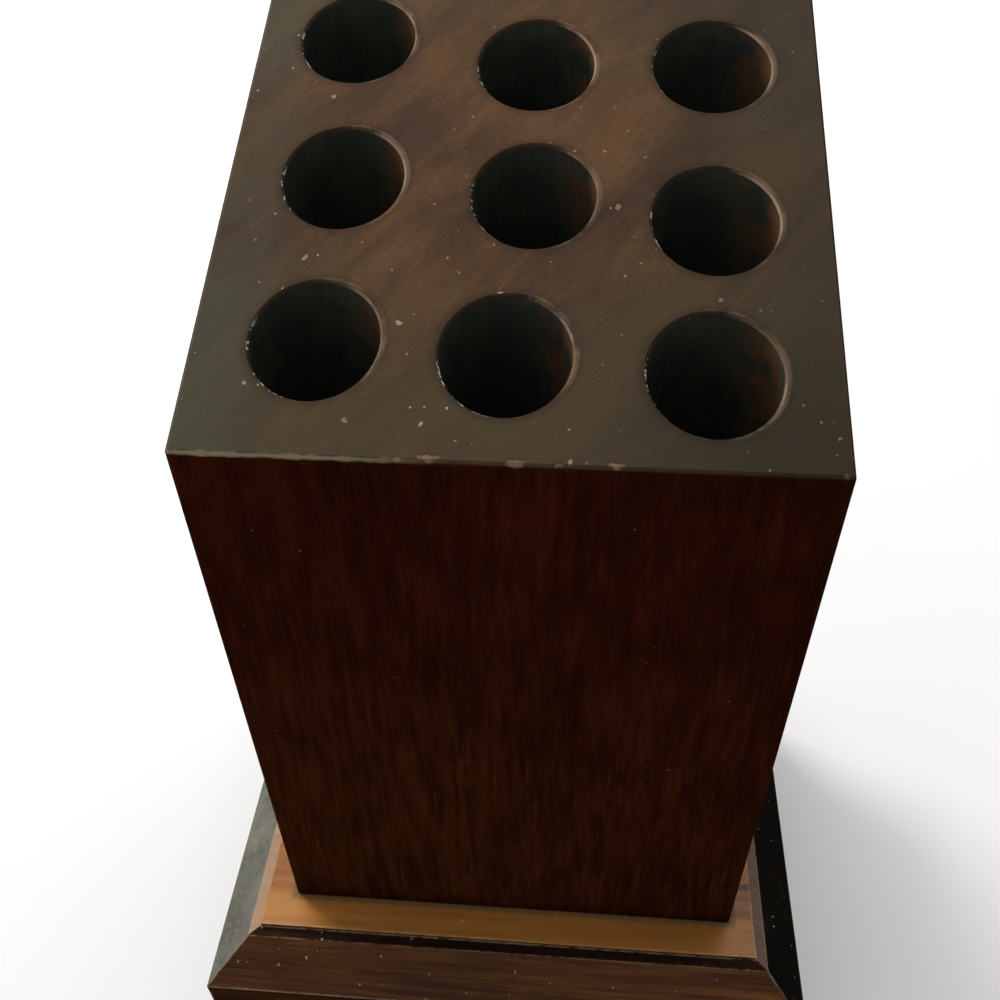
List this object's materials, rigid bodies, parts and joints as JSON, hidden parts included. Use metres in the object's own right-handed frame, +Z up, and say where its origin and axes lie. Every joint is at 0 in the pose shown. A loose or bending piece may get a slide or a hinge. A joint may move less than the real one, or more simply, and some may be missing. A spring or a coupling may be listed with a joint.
{
  "type": "pen stand with drawer",
  "caption": "Wooden desk pen stand: a dark block with a sloped top bored with straight pen holes, on a moulded plate over a shallow box with a small drawer and turned knob.",
  "frame": {"origin": "centre of the underside, on the table", "axes": "+Z up, -Y toward the low side of the pen block, where the drawer opens, +X to the right seen from there"},
  "size_m": [0.0836, 0.0935, 0.1496],
  "materials": {
    "dark_block_wood": "oiled, dark reddish brown, worn arrises",
    "orange_plate_wood": "glossy varnish, streaked grain",
    "brown_moulding_wood": "satin varnish",
    "box_wood": "satin varnish",
    "drawer_wood": "plain satin, unvarnished inside",
    "dowel_wood": "plain",
    "green_felt": "matt felt",
    "knob_brass": "turned, lightly tarnished",
    "screw_steel": "plain steel"
  },
  "bodies": {
    "stand": {"pen_block": "dark_block_wood", "top_plate": "orange_plate_wood", "base_board": "brown_moulding_wood", "carcass_side_left": "box_wood", "carcass_side_right": "box_wood", "carcass_back": "box_wood", "base_felt": "green_felt", "drawer_runner_left": "drawer_wood", "drawer_runner_right": "drawer_wood", "drawer_stop": "drawer_wood", "block_screws": "screw_steel", "base_screws": "screw_steel", "carcass_dowels": "dowel_wood", "carcass_pins": "knob_brass"},
    "drawer": {"drawer_front": "box_wood", "drawer_side_left": "drawer_wood", "drawer_side_right": "drawer_wood", "drawer_back": "drawer_wood", "drawer_bottom": "drawer_wood", "drawer_lining": "green_felt", "drawer_knob": "knob_brass", "knob_screw": "screw_steel", "drawer_pins": "screw_steel"}
  },
  "joints": [
    {"name": "drawer_slide", "type": "slide", "parent": "stand", "child": "drawer", "axis": [0, -1, 0], "range_m": [0, 0.05]}
  ]
}
